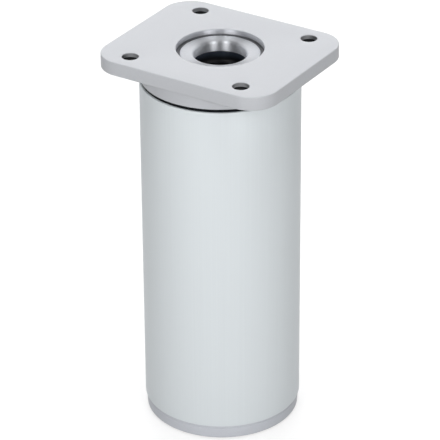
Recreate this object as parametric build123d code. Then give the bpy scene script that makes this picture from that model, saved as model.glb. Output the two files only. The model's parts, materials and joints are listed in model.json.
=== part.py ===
from build123d import *
import os
from math import cos, radians, tan

# Adjustable furniture leg: a die-cast plate on an anodised tube, with a screw-adjusted foot.
# Millimetres, +Z up, origin on the floor under the leg's axis, foot fully wound in.

# Tube
TUBE_OUTER_D = 60.0
TUBE_WALL = 2.0
TUBE_LENGTH = 133.8
TUBE_END_CHAMFER = 0.35

# Mounting plate, sized by its margins around the collar
COLLAR_INSET = 0.2
COLLAR_HEIGHT = 5.6
COLLAR_WALL = 3.3
COLLAR_EDGE = 0.35
PLATE_END_MARGIN = 7.2
PLATE_SIDE_MARGIN = 1.45
PLATE_THICKNESS = 5.4
PLATE_CORNER_R = 11.0
PLATE_EDGE = 0.4
CASTING_WALL = 1.3
SCREW_HOLE_D = 6.2
SCREW_HOLE_END_INSET = 13.25
SCREW_HOLE_SIDE_INSET = 7.5
SCREW_HOLE_EDGE = 0.25
SCREW_SEAT_D = 12.0
SCREW_LIP = 1.7
RECESS_DEPTH = 3.1
RECESS_GAP = 1.4
RECESS_EDGE = 0.3

# Tubular rivet that ties the plate to the top insert
RIVET_BORE_D = 20.0
RIVET_WALL = 1.0
RIVET_HEAD_WIDTH = 3.9
RIVET_FLARE_WIDTH = 2.0
RIVET_BEND_R = 1.0
RIVET_FLARE_EDGE = 0.5
RIVET_RIM_EDGE = 0.35

# Top insert, a plug moulded in black plastic
TOP_FLANGE_THICKNESS = 1.2
TOP_FLANGE_INSET = 0.8
TOP_WALL = 1.0
TOP_SKIRT_DEPTH = 18.0
TOP_SKIRT_WALL = 2.2
TOP_NECK_WALL = 1.8
TOP_NECK_DEPTH = 7.5
TOP_NECK_LIP = 1.2
TOP_WEB_COUNT = 6
TOP_WEB_THICKNESS = 1.8
TOP_WEB_DEPTH = 10.0

# Bottom insert, a grey plug that carries the nut
BOTTOM_FLANGE_THICKNESS = 0.8
BOTTOM_FLANGE_INSET = 0.5
BOTTOM_SKIRT_WALL = 2.2
BOTTOM_DECK = 3.5
BOTTOM_BOSS_WALL = 3.0
BOTTOM_WEB_COUNT = 6
BOTTOM_WEB_THICKNESS = 2.0
BOTTOM_WEB_ROOM = 1.5
PLUG_LEAD_IN = 0.8

# Crush ribs that hold both inserts in the tube
CRUSH_RIB_COUNT = 8
CRUSH_RIB_WIDTH = 1.4
CRUSH_RIB_HEIGHT = 0.25
CRUSH_RIB_END = 2.0

# Foot and its floor pad
FOOT_INSET = 0.5
FOOT_HEIGHT = 4.55
FOOT_TAPER = 0.2
FOOT_BASE_EDGE = 0.6
FOOT_TOP_EDGE = 0.35
FOOT_RIM_WIDTH = 4.2
FOOT_HUB_WALL = 7.0
FOOT_HUB_RISE = 3.4
FOOT_GUSSET_COUNT = 6
FOOT_GUSSET_LENGTH = 8.0
FOOT_GUSSET_THICKNESS = 1.6
PAD_THICKNESS = 1.8
PAD_PROUD = 0.5
PAD_EDGE = 0.4

# Spindle, nut, washer and spring clips
THREAD_D = 10.0
TRAVEL = 20.0
NECK_D = 8.0
SPINDLE_COLLAR_D = 16.0
SPINDLE_COLLAR_HEIGHT = 3.0
SPINDLE_TIP = 2.2
SPINDLE_TAIL = 0.9
SPINDLE_CHAMFER = 0.8
KEY_FLATS = 5.0
KEY_DEPTH = 8.0
NUT_FLATS = 17.0
NUT_HEIGHT = 8.0
WASHER_D = 18.0
WASHER_THICKNESS = 1.5
CLIP_GROOVE_DEPTH = 0.8
CLIP_WIDTH = 3.4
CLIP_THICKNESS = 0.95
CLIP_MOUTH = 5.0
CLIP_LUG_WIDTH = 1.8

# Clearances
REST_GAP = 0.15
SEAT_GAP = 0.05
RUNNING_GAP = 0.1
FREE_GAP = 0.3
COLLAR_GAP = 0.3
CLIP_ROOM = 1.5

# How close two sizes are when they name the same edge
NEAR = 1e-3

# Radii that follow from the sizes above
tube_r = TUBE_OUTER_D / 2
tube_bore_r = tube_r - TUBE_WALL
collar_r = tube_r - COLLAR_INSET
collar_bore_r = collar_r - COLLAR_WALL
plate_length = 2 * (collar_r + PLATE_END_MARGIN)
plate_width = 2 * (collar_r + PLATE_SIDE_MARGIN)
rivet_bore_r = RIVET_BORE_D / 2
rivet_shank_r = rivet_bore_r + RIVET_WALL
rivet_head_r = rivet_shank_r + RIVET_HEAD_WIDTH
rivet_flare_r = rivet_shank_r + RIVET_FLARE_WIDTH
recess_r = rivet_head_r + RECESS_GAP
skirt_r = tube_bore_r - SEAT_GAP - CRUSH_RIB_HEIGHT
spigot_r = collar_bore_r - COLLAR_GAP
neck_bore_r = rivet_flare_r + FREE_GAP
foot_r = tube_r - FOOT_INSET
pad_seat_r = foot_r - FOOT_RIM_WIDTH
thread_r = THREAD_D / 2
neck_r = NECK_D / 2
hub_r = neck_r + FOOT_HUB_WALL
nut_corner_r = NUT_FLATS / 2 / cos(radians(30))
boss_r = nut_corner_r + BOTTOM_BOSS_WALL
foot_clip_r = neck_r - CLIP_GROOVE_DEPTH + CLIP_WIDTH

# Heights, stacked up from the floor
foot_base_z = PAD_PROUD
foot_top_z = foot_base_z + FOOT_HEIGHT
hub_top_z = foot_top_z + FOOT_HUB_RISE
bottom_flange_z = foot_top_z + REST_GAP
tube_base_z = bottom_flange_z + BOTTOM_FLANGE_THICKNESS
tube_top_z = tube_base_z + TUBE_LENGTH
collar_base_z = tube_top_z + TOP_FLANGE_THICKNESS
plate_base_z = collar_base_z + COLLAR_HEIGHT
plate_top_z = plate_base_z + PLATE_THICKNESS
recess_floor_z = plate_top_z - RECESS_DEPTH
web_base_z = recess_floor_z - CASTING_WALL
top_wall_z = web_base_z - TOP_WALL
screw_seat_z = plate_top_z - SCREW_LIP
collar_seat_z = hub_top_z + WASHER_THICKNESS
thread_base_z = collar_seat_z + SPINDLE_COLLAR_HEIGHT
nut_base_z = thread_base_z + FREE_GAP
nut_top_z = nut_base_z + NUT_HEIGHT
deck_top_z = nut_top_z + BOTTOM_DECK
stop_clip_z = deck_top_z + TRAVEL + FREE_GAP
spindle_top_z = stop_clip_z + CLIP_THICKNESS + SPINDLE_TIP
foot_clip_z = PAD_THICKNESS + CLIP_ROOM
clip_ceiling_z = foot_clip_z + CLIP_THICKNESS + RUNNING_GAP
spindle_base_z = foot_clip_z - SPINDLE_TAIL


def turned(*points):
    """A solid of revolution about Z from the corners (radius, height) of its half section."""
    return revolve(Plane.XZ * make_face(Polyline(*points, close=True)), Axis.Z)


def ring(outer_r, inner_r, low_z, high_z):
    """A plain ring between two heights."""
    return Pos(0, 0, low_z) * extrude(Circle(outer_r) - Circle(inner_r), high_z - low_z)


def disc(radius, low_z, high_z):
    """A plain cylinder between two heights."""
    return Pos(0, 0, low_z) * extrude(Circle(radius), high_z - low_z)


def hexagon(flats, low_z, high_z):
    """A hexagonal prism with two corners on the X axis."""
    corner_r = flats / 2 / cos(radians(30))
    return Pos(0, 0, low_z) * extrude(RegularPolygon(corner_r, 6), high_z - low_z)


def spokes(count, inner_r, outer_r, thickness, low_z, high_z):
    """Radial webs, evenly spaced, the first one along +X."""
    bar = Pos((inner_r + outer_r) / 2, 0) * Rectangle(outer_r - inner_r, thickness)
    return [
        Rot(0, 0, turn * 360 / count) * Pos(0, 0, low_z) * extrude(bar, high_z - low_z)
        for turn in range(count)
    ]


def circles_at(shape, radius, height):
    """The circular edges of a shape with this radius at this height."""
    return [
        edge
        for edge in shape.edges().filter_by(GeomType.CIRCLE)
        if abs(edge.radius - radius) < NEAR and abs(edge.center().Z - height) < NEAR
    ]


def crush_ribs(low_z, high_z):
    """Shallow upright ribs on a plug, which take up the play in the tube."""
    bars = spokes(CRUSH_RIB_COUNT, 0, tube_r, CRUSH_RIB_WIDTH, low_z, high_z)
    sleeve = ring(tube_bore_r - SEAT_GAP, skirt_r - CRUSH_RIB_HEIGHT, low_z, high_z)
    return [sleeve & bar for bar in bars]


def make_mounting_plate():
    """Die-cast plate with a collar, four screw holes seated from below and a stepped hole for the rivet."""
    outline = RectangleRounded(plate_length, plate_width, PLATE_CORNER_R)
    plate = Pos(0, 0, plate_base_z) * extrude(outline, PLATE_THICKNESS)
    rims = plate.edges().group_by(Axis.Z)
    plate = chamfer(rims[0] + rims[-1], PLATE_EDGE)
    holes = GridLocations(
        plate_length - 2 * SCREW_HOLE_END_INSET, plate_width - 2 * SCREW_HOLE_SIDE_INSET, 2, 2
    )
    for place in holes:
        plate -= place * disc(SCREW_SEAT_D / 2, plate_base_z, screw_seat_z)
    plate += ring(collar_r, collar_bore_r, collar_base_z, screw_seat_z)
    plate = chamfer(circles_at(plate, collar_r, collar_base_z), COLLAR_EDGE)
    plate -= disc(collar_bore_r, plate_base_z, web_base_z)
    plate -= disc(recess_r, recess_floor_z, plate_top_z)
    plate -= disc(rivet_shank_r + SEAT_GAP, web_base_z, plate_top_z)
    for place in holes:
        plate -= place * disc(SCREW_HOLE_D / 2, screw_seat_z, plate_top_z)
    plate = chamfer(circles_at(plate, SCREW_HOLE_D / 2, plate_top_z), SCREW_HOLE_EDGE)
    return chamfer(circles_at(plate, recess_r, plate_top_z), RECESS_EDGE)


def make_tubular_rivet():
    """Steel tube with both ends rolled outwards, its bore left open for the adjusting key."""
    head_z = recess_floor_z + RIVET_WALL
    foot_z = top_wall_z - RIVET_WALL
    rivet = turned(
        (rivet_bore_r, foot_z),
        (rivet_flare_r, foot_z),
        (rivet_flare_r, top_wall_z),
        (rivet_shank_r, top_wall_z),
        (rivet_shank_r, recess_floor_z),
        (rivet_head_r, recess_floor_z),
        (rivet_head_r, head_z),
        (rivet_bore_r, head_z),
    )
    rivet = fillet(circles_at(rivet, rivet_bore_r, head_z), RIVET_BEND_R)
    rivet = chamfer(circles_at(rivet, rivet_bore_r, foot_z), RIVET_FLARE_EDGE)
    return chamfer(circles_at(rivet, rivet_head_r, head_z), RIVET_RIM_EDGE)


def make_tube():
    """Round aluminium tube with a small chamfer on each end."""
    tube = ring(tube_r, tube_bore_r, tube_base_z, tube_top_z)
    return chamfer(tube.edges().filter_by(GeomType.CIRCLE), TUBE_END_CHAMFER)


def make_top_insert():
    """Plug between the plate and the tube, open downwards; its flange is the dark line in the joint."""
    skirt_z = tube_top_z - TOP_SKIRT_DEPTH
    skirt_bore_r = skirt_r - TOP_SKIRT_WALL
    spigot_bore_r = spigot_r - TOP_SKIRT_WALL
    neck_outer_r = neck_bore_r + TOP_NECK_WALL
    neck_z = top_wall_z - TOP_NECK_DEPTH
    lip_r = neck_bore_r - TOP_NECK_LIP
    rivet_hole_r = rivet_shank_r + SEAT_GAP
    plug = turned(
        (rivet_hole_r, web_base_z),
        (spigot_r, web_base_z),
        (spigot_r, collar_base_z),
        (tube_r - TOP_FLANGE_INSET, collar_base_z),
        (tube_r - TOP_FLANGE_INSET, tube_top_z),
        (skirt_r, tube_top_z),
        (skirt_r, skirt_z),
        (skirt_bore_r, skirt_z),
        (skirt_bore_r, tube_top_z - TOP_SKIRT_WALL),
        (spigot_bore_r, tube_top_z),
        (spigot_bore_r, top_wall_z),
        (neck_outer_r, top_wall_z),
        (neck_outer_r, neck_z),
        (lip_r, neck_z),
        (lip_r, neck_z + TOP_NECK_LIP),
        (neck_bore_r, neck_z + TOP_NECK_LIP),
        (neck_bore_r, top_wall_z),
        (rivet_hole_r, top_wall_z),
    )
    plug = chamfer(circles_at(plug, skirt_r, skirt_z), PLUG_LEAD_IN)
    web_z = top_wall_z - TOP_WEB_DEPTH
    hollow = ring(spigot_bore_r + TOP_SKIRT_WALL / 2, neck_outer_r - TOP_NECK_WALL / 2, web_z, web_base_z)
    webs = spokes(TOP_WEB_COUNT, 0, tube_r, TOP_WEB_THICKNESS, web_z, top_wall_z + TOP_WALL / 2)
    plug += [hollow & web for web in webs]
    return plug + crush_ribs(skirt_z + CRUSH_RIB_END, tube_top_z - CRUSH_RIB_END)


def make_bottom_insert():
    """Ribbed plug under the tube's end: a deck, a boss with the nut's pocket, and webs to the skirt."""
    bore_r = skirt_r - BOTTOM_SKIRT_WALL
    guide_r = thread_r + FREE_GAP
    plug = turned(
        (guide_r, deck_top_z),
        (skirt_r, deck_top_z),
        (skirt_r, tube_base_z),
        (tube_r - BOTTOM_FLANGE_INSET, tube_base_z),
        (tube_r - BOTTOM_FLANGE_INSET, bottom_flange_z),
        (bore_r, bottom_flange_z),
        (bore_r, nut_top_z),
        (boss_r, nut_top_z),
        (boss_r, nut_base_z),
        (guide_r, nut_base_z),
    )
    plug = chamfer(circles_at(plug, skirt_r, deck_top_z), PLUG_LEAD_IN)
    plug -= hexagon(NUT_FLATS + 2 * SEAT_GAP, nut_base_z, nut_top_z)
    web_z = hub_top_z + BOTTOM_WEB_ROOM
    hollow = ring(bore_r + BOTTOM_SKIRT_WALL / 2, boss_r - BOTTOM_BOSS_WALL / 2, web_z, deck_top_z)
    webs = spokes(BOTTOM_WEB_COUNT, 0, tube_r, BOTTOM_WEB_THICKNESS, web_z, nut_top_z + BOTTOM_DECK / 2)
    plug += [hollow & web for web in webs]
    return plug + crush_ribs(tube_base_z + CRUSH_RIB_END, deck_top_z - CRUSH_RIB_END)


def make_hex_nut():
    """Hexagon nut with both faces chamfered to a circle; its thread is left as a plain bore."""
    face_r = NUT_FLATS / 2
    slope = (nut_corner_r - face_r) * tan(radians(30))
    barrel = turned(
        (thread_r + SEAT_GAP, nut_base_z),
        (face_r, nut_base_z),
        (nut_corner_r, nut_base_z + slope),
        (nut_corner_r, nut_top_z - slope),
        (face_r, nut_top_z),
        (thread_r + SEAT_GAP, nut_top_z),
    )
    return barrel & hexagon(NUT_FLATS, nut_base_z, nut_top_z)


def make_spindle():
    """Adjusting spindle: a threaded shank, a collar that bears on the foot and a socket for the key."""
    foot_groove_r = neck_r - CLIP_GROOVE_DEPTH
    stop_groove_r = thread_r - CLIP_GROOVE_DEPTH
    spindle = turned(
        (0, spindle_base_z),
        (neck_r, spindle_base_z),
        (neck_r, foot_clip_z),
        (foot_groove_r, foot_clip_z),
        (foot_groove_r, foot_clip_z + CLIP_THICKNESS),
        (neck_r, foot_clip_z + CLIP_THICKNESS),
        (neck_r, collar_seat_z),
        (SPINDLE_COLLAR_D / 2, collar_seat_z),
        (SPINDLE_COLLAR_D / 2, thread_base_z),
        (thread_r, thread_base_z),
        (thread_r, stop_clip_z),
        (stop_groove_r, stop_clip_z),
        (stop_groove_r, stop_clip_z + CLIP_THICKNESS),
        (thread_r, stop_clip_z + CLIP_THICKNESS),
        (thread_r, spindle_top_z - SPINDLE_CHAMFER),
        (thread_r - SPINDLE_CHAMFER, spindle_top_z),
        (0, spindle_top_z),
    )
    return spindle - hexagon(KEY_FLATS, spindle_top_z - KEY_DEPTH, spindle_top_z)


def make_spring_clip(groove_r, low_z):
    """E-shaped spring clip: an open ring with three lugs that reach into the spindle's groove."""
    outer_r = groove_r + CLIP_WIDTH
    relief_r = groove_r + CLIP_WIDTH / 2
    outline = Circle(outer_r) - Circle(relief_r)
    for turn in (90, 180, 270):
        outline += Rot(0, 0, turn) * Pos(relief_r, 0) * Rectangle(CLIP_WIDTH, CLIP_LUG_WIDTH)
    outline -= Circle(groove_r + SEAT_GAP)
    outline -= Pos(outer_r, 0) * Rectangle(2 * outer_r, CLIP_MOUTH)
    return Pos(0, 0, low_z) * extrude(outline, CLIP_THICKNESS)


def make_thrust_washer():
    """Flat washer between the spindle's collar and the foot's hub."""
    return ring(WASHER_D / 2, neck_r + RUNNING_GAP, hub_top_z, collar_seat_z)


def make_foot():
    """Round foot: a plate with a rim, a hub for the spindle, gussets, and a seat for the pad below."""
    hole_r = neck_r + RUNNING_GAP
    base_r = foot_r - FOOT_TAPER
    clip_room_r = foot_clip_r + FREE_GAP
    foot = turned(
        (hole_r, hub_top_z),
        (hub_r, hub_top_z),
        (hub_r, foot_top_z),
        (foot_r, foot_top_z),
        (base_r, foot_base_z),
        (pad_seat_r, foot_base_z),
        (pad_seat_r, PAD_THICKNESS),
        (clip_room_r, PAD_THICKNESS),
        (clip_room_r, clip_ceiling_z),
        (hole_r, clip_ceiling_z),
    )
    foot = chamfer(circles_at(foot, base_r, foot_base_z), FOOT_BASE_EDGE)
    foot = chamfer(circles_at(foot, foot_r, foot_top_z), FOOT_TOP_EDGE)
    foot = chamfer(circles_at(foot, hub_r, hub_top_z), FOOT_TOP_EDGE)
    gusset = make_face(
        Polyline(
            (neck_r + FOOT_HUB_WALL / 2, foot_top_z),
            (hub_r + FOOT_GUSSET_LENGTH, foot_top_z),
            (hub_r, hub_top_z - FOOT_TOP_EDGE),
            (neck_r + FOOT_HUB_WALL / 2, hub_top_z - FOOT_TOP_EDGE),
            close=True,
        )
    )
    wedge = extrude(Plane.XZ * gusset, FOOT_GUSSET_THICKNESS / 2, both=True)
    return foot + [Rot(0, 0, turn * 360 / FOOT_GUSSET_COUNT) * wedge for turn in range(FOOT_GUSSET_COUNT)]


def make_floor_pad():
    """Soft disc pressed into the foot's underside, standing a little proud of it."""
    pad = disc(pad_seat_r - SEAT_GAP, 0, PAD_THICKNESS)
    return chamfer(circles_at(pad, pad_seat_r - SEAT_GAP, 0), PAD_EDGE)


def main():
    nodes = {
        "mounting_plate": make_mounting_plate(),
        "tubular_rivet": make_tubular_rivet(),
        "tube": make_tube(),
        "top_insert": make_top_insert(),
        "bottom_insert": make_bottom_insert(),
        "hex_nut": make_hex_nut(),
        "spindle": make_spindle(),
        "stop_clip": make_spring_clip(thread_r - CLIP_GROOVE_DEPTH, stop_clip_z),
        "thrust_washer": make_thrust_washer(),
        "foot_clip": make_spring_clip(neck_r - CLIP_GROOVE_DEPTH, foot_clip_z),
        "foot": make_foot(),
        "floor_pad": make_floor_pad(),
    }
    os.makedirs("parts", exist_ok=True)
    for name, shape in nodes.items():
        export_step(shape, f"parts/{name}.step")


main()
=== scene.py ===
import json
from math import acos, atan2, cos, pi, radians, sin, tan

import bmesh
import bpy
from mathutils import Matrix, Vector


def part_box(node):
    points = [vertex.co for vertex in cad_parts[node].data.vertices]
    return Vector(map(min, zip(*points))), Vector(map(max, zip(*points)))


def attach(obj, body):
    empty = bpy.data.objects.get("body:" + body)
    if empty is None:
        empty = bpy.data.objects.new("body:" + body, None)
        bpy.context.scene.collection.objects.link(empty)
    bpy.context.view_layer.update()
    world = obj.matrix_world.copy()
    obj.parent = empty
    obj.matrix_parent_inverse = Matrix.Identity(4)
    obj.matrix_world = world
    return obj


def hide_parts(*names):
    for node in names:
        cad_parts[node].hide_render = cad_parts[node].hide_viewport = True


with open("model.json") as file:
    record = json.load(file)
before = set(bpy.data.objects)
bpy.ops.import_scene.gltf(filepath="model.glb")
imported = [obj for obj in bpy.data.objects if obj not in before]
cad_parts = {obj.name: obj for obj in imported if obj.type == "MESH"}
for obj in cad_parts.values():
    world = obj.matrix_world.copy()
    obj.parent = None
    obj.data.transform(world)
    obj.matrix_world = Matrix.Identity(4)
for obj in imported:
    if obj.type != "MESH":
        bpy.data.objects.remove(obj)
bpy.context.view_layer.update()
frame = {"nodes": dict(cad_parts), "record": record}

# Meshes are drawn in millimetres and made in metres
MM = 0.001
WELD_GAP = 0.0001
ROUND_STEPS = 8
TURN_STEPS = 192
SMALL_TURN_STEPS = 48
SMOOTH_ANGLE = radians(12)

# Mounting plate
PLATE_THICKNESS = 5.4
PLATE_CORNER_R = 11.0
PLATE_CORNER_STEPS = 24
PLATE_TOP_ROUND = 0.4
PLATE_BASE_ROUND = 0.3
CASTING_WALL = 1.3
SCREW_HOLE_R = 3.1
SCREW_HOLE_ROUND = 0.25
SCREW_SEAT_R = 6.0
SCREW_LIP = 1.7
RECESS_R = 16.3
RECESS_ROUND = 0.3
RECESS_ROOT_ROUND = 0.2
# Height of the painted shade at the foot of the recess's side
RECESS_SHADE_HEIGHT = 1.0
COLLAR_R = 29.8
COLLAR_WALL = 3.3
COLLAR_ROUND = 0.35
SEAT_GAP = 0.05

# The plate's material slots besides its lacquer, which is slot 0; slots 1 and 3 carry painted shade
SEAT_SHADE_SLOT = 1
TURNED_SLOT = 2
CUT_SHADE_SLOT = 3

# Tubular rivet
RIVET_BORE_R = 10.0
RIVET_WALL = 1.0
RIVET_BEND_R = 1.0
RIVET_FLARE_WIDTH = 2.0
RIVET_FLARE_ROUND = 0.5
RIVET_RIM_ROUND = 0.35
RIVET_EDGE_ROUND = 0.15

# Top insert, with the gain of the painted sheen at its neck's mouth and the gloss of its neck and rim
NECK_SHEEN_DEPTH = 4.2
NECK_SHEEN_GAIN = 28.0
NECK_POLISH = 0.9
NECK_POLISH_R = 16.0
RIM_POLISH = 0.03

# Tube
TUBE_WALL = 2.0
TUBE_END_ROUND = 0.35

# Foot
FOOT_INSET = 0.5
FOOT_TAPER = 0.2
FOOT_RIM_WIDTH = 4.2
FOOT_HUB_WALL = 7.0
FOOT_HUB_RISE = 3.4
FOOT_HUB_ROOT_R = 1.0
FOOT_TOP_ROUND = 0.35
FOOT_BASE_ROUND = 0.8
FOOT_HOLE_GAP = 0.1
FOOT_CLIP_GAP = 0.3
FOOT_GUSSET_COUNT = 6
FOOT_GUSSET_LENGTH = 8.0
FOOT_GUSSET_THICKNESS = 1.6
PAD_SEAT_ROUND = 0.2

# Spindle
THREAD_R = 5.0
THREAD_PITCH = 1.5
THREAD_DEPTH = 0.92
THREAD_CREST = 1 / 8
THREAD_ROOT = 1 / 4
THREAD_ROWS = 16
THREAD_RUN_OUT = 1.5
THREAD_SMOOTH_ANGLE = radians(40)
SPINDLE_STEPS = 96
SPINDLE_NECK_R = 4.0
SPINDLE_COLLAR_HEIGHT = 3.0
SPINDLE_COLLAR_ROUND = 0.3
SPINDLE_CHAMFER = 0.8
CLIP_GROOVE_DEPTH = 0.8
KEY_FLATS = 5.0
KEY_DEPTH = 8.0

# Finishes: noise levels between which they vary, a quarter turn of gloss, axes that a value can follow
NOISE_RANGE = (0.3, 0.7)
ACROSS_GRAIN = 0.25
HEIGHT = (0, 0, 1)
RADIUS = (1, 1, 0)

# Camera, fitted to the photograph: degrees, metres, and pixels of a square picture
PICTURE = 440
CAMERA_AZIMUTH = 32.4628
CAMERA_ELEVATION = 28.7991
CAMERA_ROLL = -0.4143
CAMERA_DISTANCE = 1.063635
CAMERA_AIM = Vector((0, 0, 0.075))
CAMERA_FOCAL = 2798.403
CAMERA_OFFSET = (1.405, 11.139)
SENSOR_WIDTH = 36.0

# Lights: azimuth and elevation in degrees as for the camera, metres, watts
KEY_SPREAD = 26.0
KEY_ELEVATION = 16.0
KEY_DISTANCE = 1.5
KEY_SIZE = (0.5, 1.4)
KEY_LEFT_POWER = 11.4
KEY_RIGHT_POWER = 10.6
BACK_ELEVATION = 22.0
BACK_DISTANCE = 1.5
BACK_SIZE = (1.4, 0.8)
BACK_POWER = 19.0
TOP_DISTANCE = 1.6
TOP_SIZE = (1.0, 1.0)
TOP_POWER = 17.5

# Surroundings: light levels, where 1 shows as white, an elevation in degrees, and metres
WHITE = 1.0
WORLD_FILL = 0.085
ROOM_TONE = 0.2
ROOM_ELEVATION = 65.0
ROOM_EDGE = (0.12, 0.6)
FLOOR_SIZE = 40.0
FLOOR_TONE = 0.35
FLOOR_GLOW = 0.68
FLOOR_FADE = (0.4, 2.5)


def node_box(node):
    """A node's lowest and highest corners in millimetres."""
    low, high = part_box(node)
    return low / MM, high / MM


# Outlines and half sections
def rounded(corners, steps=ROUND_STEPS):
    """A closed outline through (x, y, radius) corners, each one rounded by its own radius."""
    points = []
    for index, (x, y, radius) in enumerate(corners):
        here = Vector((x, y))
        if not radius:
            points.append(here)
            continue
        to_last = (Vector(corners[index - 1][:2]) - here).normalized()
        to_next = (Vector(corners[(index + 1) % len(corners)][:2]) - here).normalized()
        half = to_last.angle(to_next) / 2
        middle = here + (to_last + to_next).normalized() * radius / sin(half)
        first = here + to_last * radius / tan(half) - middle
        last = here + to_next * radius / tan(half) - middle
        turn = (atan2(last.y, last.x) - atan2(first.y, first.x) + pi) % (2 * pi) - pi
        for step in range(steps + 1):
            points.append(middle + Matrix.Rotation(turn * step / steps, 2) @ first)
    return points


def arc(radius, start, end, steps, centre=(0, 0)):
    """Points of an arc between two angles in radians, both ends included."""
    angles = [start + (end - start) * step / steps for step in range(steps + 1)]
    return [Vector((centre[0] + radius * cos(a), centre[1] + radius * sin(a))) for a in angles]


def circle(radius, centre=(0, 0), steps=SMALL_TURN_STEPS):
    """A closed circle that starts on +X."""
    return arc(radius, 0, 2 * pi, steps, centre)[:-1]


def quarter_round(radius):
    """Steps round an edge, as (distance in from the side, drop below the top), from the top down."""
    angles = [pi / 2 * step / ROUND_STEPS for step in range(ROUND_STEPS + 1)]
    return [(radius * (1 - sin(a)), radius * (1 - cos(a))) for a in angles]


# Meshes
def loop_at(mesh, outline, height):
    """Vertices of an outline at a height."""
    return [mesh.verts.new(Vector((p[0], p[1], height)) * MM) for p in outline]


def join_loops(mesh, first, second, closed=True, slot=0):
    """Quads between two loops of equal length."""
    count = len(first)
    for index in range(count if closed else count - 1):
        after = (index + 1) % count
        face = mesh.faces.new((first[index], first[after], second[after], second[index]))
        face.material_index = slot


def band(mesh, rings, closed=True, slot=0):
    """A wall through (outline, height) rings."""
    loops = [loop_at(mesh, outline, height) for outline, height in rings]
    for first, second in zip(loops, loops[1:]):
        join_loops(mesh, first, second, closed, slot)


def fill(mesh, outlines, height, slot=0):
    """A flat face at a height, inside the first outline and outside the others."""
    edges = []
    for outline in outlines:
        loop = loop_at(mesh, outline, height)
        edges += [mesh.edges.new(pair) for pair in zip(loop, loop[1:] + loop[:1])]
    made = bmesh.ops.triangle_fill(mesh, use_beauty=True, edges=edges, normal=(0, 0, 1))
    for face in made["geom"]:
        if isinstance(face, bmesh.types.BMFace):
            face.material_index = slot


def turned(mesh, section):
    """A closed half section of (radius, height) points turned about Z."""
    loops = [loop_at(mesh, circle(radius, steps=TURN_STEPS), height) for radius, height in section]
    for first, second in zip(loops, loops[1:] + loops[:1]):
        join_loops(mesh, first, second)


def finished(name, mesh, smooth=SMOOTH_ANGLE):
    """An object from a mesh: welded, facing outwards, smooth except across its edges."""
    bmesh.ops.remove_doubles(mesh, verts=mesh.verts, dist=WELD_GAP * MM)
    bmesh.ops.recalc_face_normals(mesh, faces=mesh.faces)
    data = bpy.data.meshes.new(name)
    mesh.to_mesh(data)
    mesh.free()
    data.shade_smooth()
    data.set_sharp_from_angle(angle=smooth)
    piece = bpy.data.objects.new(name, data)
    bpy.context.scene.collection.objects.link(piece)
    return piece


def united(piece, *others):
    """The piece with other closed pieces fused to it."""
    for other in others:
        modifier = piece.modifiers.new("fuse", "BOOLEAN")
        modifier.operation = "UNION"
        modifier.solver = "EXACT"
        modifier.object = other
    graph = bpy.context.evaluated_depsgraph_get()
    data = bpy.data.meshes.new_from_object(piece.evaluated_get(graph))
    piece.modifiers.clear()
    piece.data = data
    for other in others:
        bpy.data.objects.remove(other)
    data.set_sharp_from_angle(angle=SMOOTH_ANGLE)
    return piece


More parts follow.
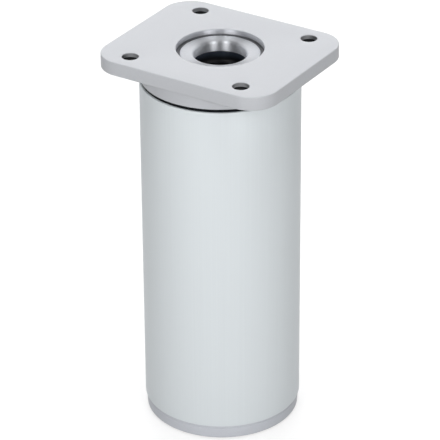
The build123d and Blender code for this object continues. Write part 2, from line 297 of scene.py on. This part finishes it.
def make_plate():
    """Die-cast plate with its collar, and seats for the screw heads under the four holes."""
    low, high = node_box("mounting_plate")
    top = high.z
    base = top - PLATE_THICKNESS
    seat = top - SCREW_LIP
    recess_floor = node_box("tubular_rivet")[1].z - RIVET_WALL
    web_base = recess_floor - CASTING_WALL
    rivet_hole_r = RIVET_BORE_R + RIVET_WALL + SEAT_GAP
    collar_bore_r = COLLAR_R - COLLAR_WALL
    mounts = {mount["name"]: mount for mount in frame["record"]["mounts"]}
    spacing = mounts["screw_holes"]["dims"]["spacing_x_mm"]
    reach = Vector((spacing, spacing)).length / 2

    # Half angles, seen from the leg's axis and from a hole's, between which a seat cuts the collar's side
    collar_turn = acos((reach**2 + COLLAR_R**2 - SCREW_SEAT_R**2) / (2 * reach * COLLAR_R))
    seat_turn = acos((reach**2 + SCREW_SEAT_R**2 - COLLAR_R**2) / (2 * reach * SCREW_SEAT_R))
    ways = [pi / 4 + pi / 2 * quarter for quarter in range(4)]
    places = [Vector((reach * cos(way), reach * sin(way))) for way in ways]

    def outline(inset):
        half_x = high.x - inset
        half_y = high.y - inset
        corners = ((half_x, half_y), (-half_x, half_y), (-half_x, -half_y), (half_x, -half_y))
        return rounded([(x, y, PLATE_CORNER_R - inset) for x, y in corners], PLATE_CORNER_STEPS)

    def seat_side(way):
        return arc(COLLAR_R, way - collar_turn, way + collar_turn, ROUND_STEPS)

    def between(way):
        return arc(COLLAR_R, way + collar_turn, way + pi / 2 - collar_turn, SMALL_TURN_STEPS)

    def around(radius):
        points = []
        for way in ways:
            points += seat_side(way)[:-1] + between(way)[:-1]
        return [point * radius / COLLAR_R for point in points]

    mesh = bmesh.new()
    wall = [(COLLAR_R, base)]
    wall += [(COLLAR_R - inset, low.z + drop) for inset, drop in reversed(quarter_round(COLLAR_ROUND))]
    wall += [(collar_bore_r, low.z), (collar_bore_r, web_base)]
    wall += [(rivet_hole_r, web_base), (rivet_hole_r, recess_floor)]
    band(mesh, [(around(radius), height) for radius, height in wall])
    # The groove's floor and the foot of the recess's side are painted darker as shade
    groove = [(rivet_hole_r, recess_floor)]
    groove += [(RECESS_R - inset, recess_floor + drop) for inset, drop in quarter_round(RECESS_ROOT_ROUND)]
    groove += [(RECESS_R, recess_floor + RECESS_SHADE_HEIGHT)]
    band(mesh, [(around(radius), height) for radius, height in groove], slot=CUT_SHADE_SLOT)
    recess = [(RECESS_R + inset, top - drop) for inset, drop in reversed(quarter_round(RECESS_ROUND))]
    band(mesh, [(around(radius), height) for radius, height in groove[-1:] + recess[:1]], slot=TURNED_SLOT)
    band(mesh, [(around(radius), height) for radius, height in recess])
    side = [(outline(inset), top - drop) for inset, drop in quarter_round(PLATE_TOP_ROUND)]
    side += [(outline(inset), base + drop) for inset, drop in reversed(quarter_round(PLATE_BASE_ROUND))]
    band(mesh, side)
    openings = [circle(SCREW_HOLE_R + SCREW_HOLE_ROUND, place) for place in places]
    fill(mesh, [outline(PLATE_TOP_ROUND), around(RECESS_R + RECESS_ROUND)] + openings, top)
    inner_edge = []
    for way, place in zip(ways, places):
        hole = circle(SCREW_HOLE_R, place)
        lip = [(SCREW_HOLE_R + inset, top - drop) for inset, drop in quarter_round(SCREW_HOLE_ROUND)]
        band(mesh, [(circle(radius, place), height) for radius, height in lip])
        # The hole walls below the lip are painted darker as shade
        band(mesh, [(hole, top - SCREW_HOLE_ROUND), (hole, seat)], slot=CUT_SHADE_SLOT)
        seat_arc = arc(SCREW_SEAT_R, way - pi + seat_turn, way + pi - seat_turn, SMALL_TURN_STEPS, place)
        # The seats under the holes are painted near black as shade
        band(mesh, [(seat_arc, base), (seat_arc, seat)], closed=False, slot=SEAT_SHADE_SLOT)
        band(mesh, [(seat_side(way), base), (seat_side(way), seat)], closed=False, slot=SEAT_SHADE_SLOT)
        fill(mesh, [seat_arc + seat_side(way)[-2:0:-1], hole], seat, slot=SEAT_SHADE_SLOT)
        inner_edge += seat_arc[:-1] + between(way)[:-1]
    fill(mesh, [outline(PLATE_BASE_ROUND), inner_edge], base)
    return finished("cast_plate", mesh)


def make_rivet():
    """Tubular rivet with both ends rolled outwards."""
    low, high = node_box("tubular_rivet")
    shank_r = RIVET_BORE_R + RIVET_WALL
    flare_r = shank_r + RIVET_FLARE_WIDTH
    mesh = bmesh.new()
    turned(mesh, rounded([
        (RIVET_BORE_R, low.z, RIVET_FLARE_ROUND),
        (flare_r, low.z, RIVET_EDGE_ROUND),
        (flare_r, low.z + RIVET_WALL, RIVET_EDGE_ROUND),
        (shank_r, low.z + RIVET_WALL, 0),
        (shank_r, high.z - RIVET_WALL, 0),
        (high.x, high.z - RIVET_WALL, RIVET_EDGE_ROUND),
        (high.x, high.z, RIVET_RIM_ROUND),
        (RIVET_BORE_R, high.z, RIVET_BEND_R),
    ]))
    return finished("rolled_rivet", mesh)


def make_tube():
    """Anodised tube with its cut ends lightly rounded."""
    low, high = node_box("tube")
    bore_r = high.x - TUBE_WALL
    mesh = bmesh.new()
    turned(mesh, rounded([
        (bore_r, low.z, TUBE_END_ROUND),
        (high.x, low.z, TUBE_END_ROUND),
        (high.x, high.z, TUBE_END_ROUND),
        (bore_r, high.z, TUBE_END_ROUND),
    ]))
    return finished("leg_tube", mesh)


def make_foot():
    """Moulded foot: rim, hub, gussets, and the seat of its pad."""
    low, high = node_box("foot")
    pad_top = node_box("floor_pad")[1].z
    clip_high = node_box("foot_clip")[1]
    foot_r = node_box("tube")[1].x - FOOT_INSET
    hole_r = SPINDLE_NECK_R + FOOT_HOLE_GAP
    hub_r = SPINDLE_NECK_R + FOOT_HUB_WALL
    seat_r = foot_r - FOOT_RIM_WIDTH
    clip_r = clip_high.y + FOOT_CLIP_GAP
    clip_ceiling = clip_high.z + FOOT_HOLE_GAP
    deck = high.z - FOOT_HUB_RISE
    mesh = bmesh.new()
    turned(mesh, rounded([
        (hole_r, high.z, PAD_SEAT_ROUND),
        (hub_r, high.z, FOOT_TOP_ROUND),
        (hub_r, deck, FOOT_HUB_ROOT_R),
        (foot_r, deck, FOOT_TOP_ROUND),
        (foot_r - FOOT_TAPER, low.z, FOOT_BASE_ROUND),
        (seat_r, low.z, PAD_SEAT_ROUND),
        (seat_r, pad_top, 0),
        (clip_r, pad_top, PAD_SEAT_ROUND),
        (clip_r, clip_ceiling, 0),
        (hole_r, clip_ceiling, PAD_SEAT_ROUND),
    ]))
    body = finished("moulded_foot", mesh)
    inner_r = SPINDLE_NECK_R + FOOT_HUB_WALL / 2
    crown = high.z - FOOT_TOP_ROUND
    sunk = deck - FOOT_HUB_ROOT_R
    section = [(inner_r, sunk), (hub_r + FOOT_GUSSET_LENGTH, sunk), (hub_r + FOOT_GUSSET_LENGTH, deck),
               (hub_r, crown), (inner_r, crown)]
    gussets = []
    for index in range(FOOT_GUSSET_COUNT):
        mesh = bmesh.new()
        sides = []
        for offset in (-FOOT_GUSSET_THICKNESS / 2, FOOT_GUSSET_THICKNESS / 2):
            sides.append([mesh.verts.new(Vector((r, offset, z)) * MM) for r, z in section])
            mesh.faces.new(sides[-1])
        join_loops(mesh, *sides)
        mesh.transform(Matrix.Rotation(2 * pi * index / FOOT_GUSSET_COUNT, 4, "Z"))
        gussets.append(finished(f"gusset_{index}", mesh))
    return united(body, *gussets)


def thread_radius(angle, height, low, high):
    """Radius of a right-hand thread, which fades out at both ends."""
    phase = abs(((height / THREAD_PITCH - angle / (2 * pi)) % 1) * 2 - 1)
    depth = (phase - THREAD_CREST) / (1 - THREAD_CREST - THREAD_ROOT)
    fade = min(height - low, high - height) / THREAD_RUN_OUT
    return THREAD_R - THREAD_DEPTH * min(max(depth, 0), 1) * min(max(fade, 0), 1)


def make_spindle():
    """Adjusting spindle with a true helical thread and a hexagon socket."""
    low, high = node_box("spindle")
    stop = [corner.z for corner in node_box("stop_clip")]
    clip = [corner.z for corner in node_box("foot_clip")]
    seat = node_box("thrust_washer")[1].z
    thread_base = seat + SPINDLE_COLLAR_HEIGHT
    neck_groove_r = SPINDLE_NECK_R - CLIP_GROOVE_DEPTH
    stop_groove_r = THREAD_R - CLIP_GROOVE_DEPTH
    angles = [2 * pi * step / SPINDLE_STEPS for step in range(SPINDLE_STEPS)]

    def plain(radius, height):
        return [(radius, height)] * len(angles)

    def threaded(base, top):
        count = round((top - base) / THREAD_PITCH * THREAD_ROWS)
        heights = [base + (top - base) * row / count for row in range(count + 1)]
        return [[(thread_radius(angle, z, base, top), z) for angle in angles] for z in heights]

    def hexagonal(height):
        corner = pi / 3
        return [(KEY_FLATS / 2 / cos(angle % corner - corner / 2), height) for angle in angles]

    rows = [plain(0, low.z)]
    rows += [plain(SPINDLE_NECK_R, low.z), plain(SPINDLE_NECK_R, clip[0])]
    rows += [plain(neck_groove_r, clip[0]), plain(neck_groove_r, clip[1]), plain(SPINDLE_NECK_R, clip[1])]
    rows += [plain(SPINDLE_NECK_R, seat)]
    rows += [plain(high.x - inset, seat + drop) for inset, drop in quarter_round(SPINDLE_COLLAR_ROUND)]
    rows += [plain(high.x - inset, thread_base - drop)
             for inset, drop in reversed(quarter_round(SPINDLE_COLLAR_ROUND))]
    rows += threaded(thread_base, stop[0])
    rows += [plain(stop_groove_r, stop[0]), plain(stop_groove_r, stop[1]), plain(THREAD_R, stop[1])]
    rows += [plain(THREAD_R, high.z - SPINDLE_CHAMFER), plain(THREAD_R - SPINDLE_CHAMFER, high.z)]
    rows += [hexagonal(high.z), hexagonal(high.z - KEY_DEPTH), plain(0, high.z - KEY_DEPTH)]
    mesh = bmesh.new()
    loops = []
    for row in rows:
        points = [(radius * cos(angle), radius * sin(angle), z) for (radius, z), angle in zip(row, angles)]
        loops.append([mesh.verts.new(Vector(point) * MM) for point in points])
    for first, second in zip(loops, loops[1:]):
        join_loops(mesh, first, second)
    bmesh.ops.dissolve_degenerate(mesh, edges=mesh.edges, dist=WELD_GAP * MM)
    return finished("threaded_spindle", mesh, THREAD_SMOOTH_ANGLE)


# Finishes
def start_finish(name):
    """A new material with its shader node and the piece's own coordinates in metres."""
    material = bpy.data.materials.new(name)
    material.use_nodes = True
    tree = material.node_tree
    shader = tree.nodes["Principled BSDF"]
    place = tree.nodes.new("ShaderNodeTexCoord").outputs["Object"]
    return material, tree, shader, place


def noise(tree, place, scale, detail):
    """Noise with a scale per axis, in features to the metre."""
    mapping = tree.nodes.new("ShaderNodeMapping")
    mapping.inputs["Scale"].default_value = scale
    texture = tree.nodes.new("ShaderNodeTexNoise")
    texture.inputs["Scale"].default_value = 1.0
    texture.inputs["Detail"].default_value = detail
    tree.links.new(place, mapping.inputs["Vector"])
    tree.links.new(mapping.outputs["Vector"], texture.inputs["Vector"])
    return texture.outputs["Fac"]


def turned_grain(tree, shader, amount):
    """Gloss drawn out across the fine circles about Z that turning and rolling leave."""
    around = tree.nodes.new("ShaderNodeTangent")
    around.direction_type = "RADIAL"
    around.axis = "Z"
    shader.inputs["Anisotropic"].default_value = amount
    shader.inputs["Anisotropic Rotation"].default_value = ACROSS_GRAIN
    tree.links.new(around.outputs["Tangent"], shader.inputs["Tangent"])


def tint(tree, shader, pattern, tone, spread, gain=None):
    """Base colour that varies with a pattern about its tone, times a gain where one is given."""
    ramp = tree.nodes.new("ShaderNodeValToRGB")
    darker, lighter = ramp.color_ramp.elements
    darker.position, lighter.position = NOISE_RANGE
    darker.color = [channel * (1 - spread) for channel in tone] + [1]
    lighter.color = [channel * (1 + spread) for channel in tone] + [1]
    tree.links.new(pattern, ramp.inputs["Fac"])
    colour = ramp.outputs["Color"]
    if gain:
        scaled = tree.nodes.new("ShaderNodeVectorMath")
        scaled.operation = "SCALE"
        tree.links.new(colour, scaled.inputs[0])
        tree.links.new(gain, scaled.inputs["Scale"])
        colour = scaled.outputs["Vector"]
    tree.links.new(colour, shader.inputs["Base Color"])


def gloss(tree, shader, pattern, roughness, spread):
    """Roughness that varies with a pattern."""
    spans = tree.nodes.new("ShaderNodeMapRange")
    spans.inputs["From Min"].default_value, spans.inputs["From Max"].default_value = NOISE_RANGE
    spans.inputs["To Min"].default_value = roughness - spread
    spans.inputs["To Max"].default_value = roughness + spread
    tree.links.new(pattern, spans.inputs["Value"])
    tree.links.new(spans.outputs["Result"], shader.inputs["Roughness"])


def relief(tree, shader, pattern, depth_mm, edge_mm=0):
    """Fine relief from a pattern, with the solid's edges rounded in the shading where asked."""
    bump = tree.nodes.new("ShaderNodeBump")
    bump.inputs["Strength"].default_value = 1.0
    bump.inputs["Distance"].default_value = depth_mm * MM
    if edge_mm:
        edge = tree.nodes.new("ShaderNodeBevel")
        edge.inputs["Radius"].default_value = edge_mm * MM
        tree.links.new(edge.outputs["Normal"], bump.inputs["Normal"])
    tree.links.new(pattern, bump.inputs["Height"])
    tree.links.new(bump.outputs["Normal"], shader.inputs["Normal"])


def even(count):
    """The same scale on each axis."""
    return (count, count, count)


def silver_lacquer():
    """Satin silver lacquer on a die casting: a faint orange peel under fine metal flake."""
    material, tree, shader, place = start_finish("silver_lacquer")
    flake = noise(tree, place, even(5200), detail=2.0)
    peel = noise(tree, place, even(620), detail=3.0)
    tint(tree, shader, flake, tone=(0.519, 0.532, 0.559), spread=0.03)
    gloss(tree, shader, flake, roughness=0.5, spread=0.04)
    relief(tree, shader, peel, depth_mm=0.004)
    shader.inputs["Metallic"].default_value = 0.1
    return material


def seat_painted_shade():
    """Casting in the screw seats, painted near black as shade under the plate: dull and grainy."""
    material, tree, shader, place = start_finish("seat_painted_shade")
    grain = noise(tree, place, even(1800), detail=5.0)
    tint(tree, shader, grain, tone=(0.02, 0.021, 0.023), spread=0.15)
    gloss(tree, shader, grain, roughness=0.7, spread=0.06)
    relief(tree, shader, grain, depth_mm=0.02)
    shader.inputs["Specular IOR Level"].default_value = 0.2
    return material


def turned_casting():
    """Casting turned bare in the recess's side, with the fine circles of the tool."""
    material, tree, shader, place = start_finish("turned_casting")
    cloud = noise(tree, place, even(700), detail=3.0)
    tint(tree, shader, cloud, tone=(0.7, 0.71, 0.745), spread=0.03)
    gloss(tree, shader, cloud, roughness=0.46, spread=0.04)
    turned_grain(tree, shader, amount=0.7)
    shader.inputs["Metallic"].default_value = 1.0
    return material


def cut_casting_painted_shade():
    """Casting cut bare in the screw holes and the recess's floor, its tone painted darker than its turned
    side as shade in the holes and the groove.
    """
    material, tree, shader, place = start_finish("cut_casting_painted_shade")
    grain = noise(tree, place, even(2200), detail=3.0)
    tint(tree, shader, grain, tone=(0.36, 0.365, 0.38), spread=0.05)
    gloss(tree, shader, grain, roughness=0.5, spread=0.05)
    relief(tree, shader, grain, depth_mm=0.004)
    shader.inputs["Metallic"].default_value = 1.0
    return material


def satin_steel():
    """Rivet steel with the fine circles that rolling leaves."""
    material, tree, shader, place = start_finish("satin_steel")
    cloud = noise(tree, place, even(900), detail=3.0)
    tint(tree, shader, cloud, tone=(0.88, 0.9, 0.94), spread=0.03)
    gloss(tree, shader, cloud, roughness=0.5, spread=0.04)
    turned_grain(tree, shader, amount=0.9)
    shader.inputs["Metallic"].default_value = 1.0
    return material


def satin_anodised():
    """Anodised tube with very fine lengthwise drawing lines."""
    material, tree, shader, place = start_finish("satin_anodised")
    lines = noise(tree, place, (2600, 2600, 10), detail=3.0)
    tint(tree, shader, lines, tone=(0.72, 0.765, 0.787), spread=0.012)
    gloss(tree, shader, lines, roughness=0.5, spread=0.03)
    relief(tree, shader, lines, depth_mm=0.002)
    shader.inputs["Metallic"].default_value = 0.1
    return material


def graded(tree, place, axes, start, end, first, last):
    """A value that goes from first to last between two distances in mm, measured along the axes set to 1."""
    kept = tree.nodes.new("ShaderNodeVectorMath")
    kept.operation = "MULTIPLY"
    kept.inputs[1].default_value = axes
    distance = tree.nodes.new("ShaderNodeVectorMath")
    distance.operation = "LENGTH"
    value = tree.nodes.new("ShaderNodeMapRange")
    value.inputs["From Min"].default_value = start * MM
    value.inputs["From Max"].default_value = end * MM
    value.inputs["To Min"].default_value = first
    value.inputs["To Max"].default_value = last
    tree.links.new(place, kept.inputs[0])
    tree.links.new(kept.outputs["Vector"], distance.inputs[0])
    tree.links.new(distance.outputs["Value"], value.inputs["Value"])
    return value.outputs["Result"]


def black_moulding():
    """Black plastic with faint flow marks, a painted blue-grey sheen at the neck's mouth, and matt towards
    its rim.
    """
    material, tree, shader, place = start_finish("black_moulding")
    mouth = node_box("tubular_rivet")[0].z
    flow = noise(tree, place, (260, 260, 90), detail=4.0)
    # Painted sheen: the base colour is raised towards the neck's mouth to stand in for light caught there
    painted_sheen = graded(tree, place, HEIGHT, mouth - NECK_SHEEN_DEPTH, mouth, 1.0, NECK_SHEEN_GAIN)
    polished = graded(tree, place, RADIUS, NECK_POLISH_R, COLLAR_R, NECK_POLISH, RIM_POLISH)
    tint(tree, shader, flow, tone=(0.004, 0.005, 0.007), spread=0.2, gain=painted_sheen)
    gloss(tree, shader, flow, roughness=0.32, spread=0.05)
    relief(tree, shader, flow, depth_mm=0.006, edge_mm=0.5)
    tree.links.new(polished, shader.inputs["Specular IOR Level"])
    return material


def grey_moulding():
    """Grey plastic with a fine eroded texture."""
    material, tree, shader, place = start_finish("grey_moulding")
    grain = noise(tree, place, even(3200), detail=3.0)
    tint(tree, shader, grain, tone=(0.593, 0.614, 0.66), spread=0.03)
    gloss(tree, shader, grain, roughness=0.5, spread=0.05)
    relief(tree, shader, grain, depth_mm=0.012)
    return material


def zinc_plate():
    """Bright zinc on steel, with soft cloudy patches."""
    material, tree, shader, place = start_finish("zinc_plate")
    cloud = noise(tree, place, even(340), detail=4.0)
    tint(tree, shader, cloud, tone=(0.56, 0.57, 0.585), spread=0.06)
    gloss(tree, shader, cloud, roughness=0.28, spread=0.06)
    relief(tree, shader, noise(tree, place, even(2400), detail=2.0), depth_mm=0.003)
    shader.inputs["Metallic"].default_value = 1.0
    return material


def dark_spring():
    """Phosphated spring steel."""
    material, tree, shader, place = start_finish("dark_spring")
    grain = noise(tree, place, even(1500), detail=4.0)
    tint(tree, shader, grain, tone=(0.085, 0.085, 0.09), spread=0.2)
    gloss(tree, shader, grain, roughness=0.45, spread=0.08)
    relief(tree, shader, grain, depth_mm=0.004)
    shader.inputs["Metallic"].default_value = 0.9
    return material


def soft_rubber():
    """Matt pad with a fine open grain."""
    material, tree, shader, place = start_finish("soft_rubber")
    grain = noise(tree, place, even(1600), detail=5.0)
    tint(tree, shader, grain, tone=(0.055, 0.055, 0.058), spread=0.18)
    gloss(tree, shader, grain, roughness=0.82, spread=0.06)
    relief(tree, shader, grain, depth_mm=0.03)
    return material


# Pieces: each new one rides on its body and stands for its node
def place_piece(piece, body, node, slot, *materials):
    """Dresses a new piece, sets it on its body and lets it stand for its node."""
    for material in materials:
        piece.data.materials.append(material)
    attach(piece, body)
    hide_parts(node)


def dress_nodes(material, *nodes):
    """Gives solids that stay as they are their finish."""
    for node in nodes:
        data = frame["nodes"][node].data
        data.materials.clear()
        data.materials.append(material)


grey = grey_moulding()
zinc = zinc_plate()
plate_finishes = (silver_lacquer(), seat_painted_shade(), turned_casting(), cut_casting_painted_shade())
place_piece(make_plate(), "leg", "mounting_plate", "plate_casting", *plate_finishes)
place_piece(make_rivet(), "leg", "tubular_rivet", "rivet_steel", satin_steel())
place_piece(make_tube(), "leg", "tube", "tube_aluminium", satin_anodised())
place_piece(make_foot(), "foot", "foot", "foot_grey", grey)
place_piece(make_spindle(), "spindle", "spindle", "plated_steel", zinc)
dress_nodes(black_moulding(), "top_insert")
dress_nodes(grey, "bottom_insert")
dress_nodes(zinc, "hex_nut", "thrust_washer")
dress_nodes(dark_spring(), "stop_clip", "foot_clip")
dress_nodes(soft_rubber(), "floor_pad")


# Stage, lights and camera
def direction(azimuth, elevation):
    """Unit vector towards a viewer at an azimuth and elevation in degrees."""
    flat = cos(radians(elevation))
    return Vector((sin(radians(azimuth)) * flat, -cos(radians(azimuth)) * flat, sin(radians(elevation))))


def facing(place, target, roll=0):
    """A matrix at a place, looking at a target with +Z up, turned about the line of sight."""
    turn = (target - place).to_track_quat("-Z", "Y").to_matrix().to_4x4()
    return Matrix.Translation(place) @ turn @ Matrix.Rotation(radians(roll), 4, "Z")


def any_of(tree, names):
    """1 for rays of the named kinds, and 0 for others."""
    path = tree.nodes.new("ShaderNodeLightPath")
    total = path.outputs[names[0]]
    for name in names[1:]:
        larger = tree.nodes.new("ShaderNodeMath")
        larger.operation = "MAXIMUM"
        tree.links.new(total, larger.inputs[0])
        tree.links.new(path.outputs[name], larger.inputs[1])
        total = larger.outputs["Value"]
    return total


def add_floor():
    """A pale floor that stays under the foot, keeps its soft shadow and fades to white around it."""
    mesh = bmesh.new()
    bmesh.ops.create_grid(mesh, x_segments=1, y_segments=1, size=FLOOR_SIZE / 2)
    floor = finished("floor", mesh)
    material = bpy.data.materials.new("floor_paper")
    material.use_nodes = True
    tree = material.node_tree
    tree.nodes.clear()
    paper = tree.nodes.new("ShaderNodeBsdfDiffuse")
    paper.inputs["Color"].default_value = (FLOOR_TONE, FLOOR_TONE, FLOOR_TONE, 1)
    glow = tree.nodes.new("ShaderNodeEmission")
    away = tree.nodes.new("ShaderNodeVectorMath")
    away.operation = "LENGTH"
    fade = tree.nodes.new("ShaderNodeMapRange")
    fade.inputs["From Min"].default_value, fade.inputs["From Max"].default_value = FLOOR_FADE
    fade.inputs["To Min"].default_value = FLOOR_GLOW
    fade.inputs["To Max"].default_value = WHITE
    level = tree.nodes.new("ShaderNodeMath")
    level.operation = "MULTIPLY"
    both = tree.nodes.new("ShaderNodeAddShader")
    end = tree.nodes.new("ShaderNodeOutputMaterial")
    seen = any_of(tree, ("Is Camera Ray", "Is Glossy Ray", "Is Transmission Ray"))
    tree.links.new(tree.nodes.new("ShaderNodeTexCoord").outputs["Object"], away.inputs[0])
    tree.links.new(away.outputs["Value"], fade.inputs["Value"])
    tree.links.new(seen, level.inputs[0])
    tree.links.new(fade.outputs["Result"], level.inputs[1])
    tree.links.new(level.outputs["Value"], glow.inputs["Strength"])
    tree.links.new(paper.outputs["BSDF"], both.inputs[0])
    tree.links.new(glow.outputs["Emission"], both.inputs[1])
    tree.links.new(both.outputs["Shader"], end.inputs["Surface"])
    floor.data.materials.append(material)
    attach(floor, "foot")


def add_world():
    """White surroundings, at a lower level as light; reflections show the dimmer room over the camera."""
    world = bpy.data.worlds.new("studio")
    bpy.context.scene.world = world
    world.use_nodes = True
    tree = world.node_tree
    background = tree.nodes["Background"]
    background.inputs["Color"].default_value = (1, 1, 1, 1)
    toward = tree.nodes.new("ShaderNodeVectorMath")
    toward.operation = "DOT_PRODUCT"
    toward.inputs[1].default_value = direction(CAMERA_AZIMUTH, ROOM_ELEVATION)
    room = tree.nodes.new("ShaderNodeMapRange")
    room.inputs["From Min"].default_value, room.inputs["From Max"].default_value = ROOM_EDGE
    room.inputs["To Min"].default_value = WHITE
    room.inputs["To Max"].default_value = ROOM_TONE
    reflected = tree.nodes.new("ShaderNodeMapRange")
    reflected.inputs["To Min"].default_value = WORLD_FILL
    shown = tree.nodes.new("ShaderNodeMath")
    shown.operation = "MAXIMUM"
    way = tree.nodes.new("ShaderNodeTexCoord").outputs["Generated"]
    tree.links.new(way, toward.inputs[0])
    tree.links.new(toward.outputs["Value"], room.inputs["Value"])
    tree.links.new(any_of(tree, ("Is Glossy Ray", "Is Transmission Ray")), reflected.inputs["Value"])
    tree.links.new(room.outputs["Result"], reflected.inputs["To Max"])
    tree.links.new(reflected.outputs["Result"], shown.inputs[0])
    tree.links.new(any_of(tree, ("Is Camera Ray",)), shown.inputs[1])
    tree.links.new(shown.outputs["Value"], background.inputs["Strength"])


def add_softbox(name, offset, size, power, mirrored=True):
    """A large rectangular lamp aimed at the object, kept out of reflections where asked."""
    lamp = bpy.data.lights.new(name, "AREA")
    lamp.shape = "RECTANGLE"
    lamp.size, lamp.size_y = size
    lamp.energy = power
    softbox = bpy.data.objects.new(name, lamp)
    softbox.matrix_world = facing(CAMERA_AIM + offset, CAMERA_AIM)
    softbox.visible_camera = False
    softbox.visible_glossy = mirrored
    bpy.context.scene.collection.objects.link(softbox)


def add_camera():
    """The photograph's own view."""
    lens = bpy.data.cameras.new("photo_view")
    lens.sensor_width = SENSOR_WIDTH
    lens.lens = CAMERA_FOCAL / PICTURE * SENSOR_WIDTH
    lens.shift_x = -CAMERA_OFFSET[0] / PICTURE
    lens.shift_y = CAMERA_OFFSET[1] / PICTURE
    camera = bpy.data.objects.new("photo_view", lens)
    place = CAMERA_AIM + direction(CAMERA_AZIMUTH, CAMERA_ELEVATION) * CAMERA_DISTANCE
    camera.matrix_world = facing(place, CAMERA_AIM, CAMERA_ROLL)
    bpy.context.scene.collection.objects.link(camera)
    bpy.context.scene.camera = camera


add_camera()
add_floor()
add_world()
left = direction(CAMERA_AZIMUTH - KEY_SPREAD, KEY_ELEVATION)
right = direction(CAMERA_AZIMUTH + KEY_SPREAD, KEY_ELEVATION)
behind = direction(CAMERA_AZIMUTH + 180, BACK_ELEVATION)
above = Vector((0, 0, 1))
add_softbox("key_left", left * KEY_DISTANCE, KEY_SIZE, KEY_LEFT_POWER)
add_softbox("key_right", right * KEY_DISTANCE, KEY_SIZE, KEY_RIGHT_POWER)
add_softbox("back", behind * BACK_DISTANCE, BACK_SIZE, BACK_POWER, mirrored=False)
add_softbox("top", above * TOP_DISTANCE, TOP_SIZE, TOP_POWER, mirrored=False)
bpy.context.scene.view_settings.view_transform = "Standard"
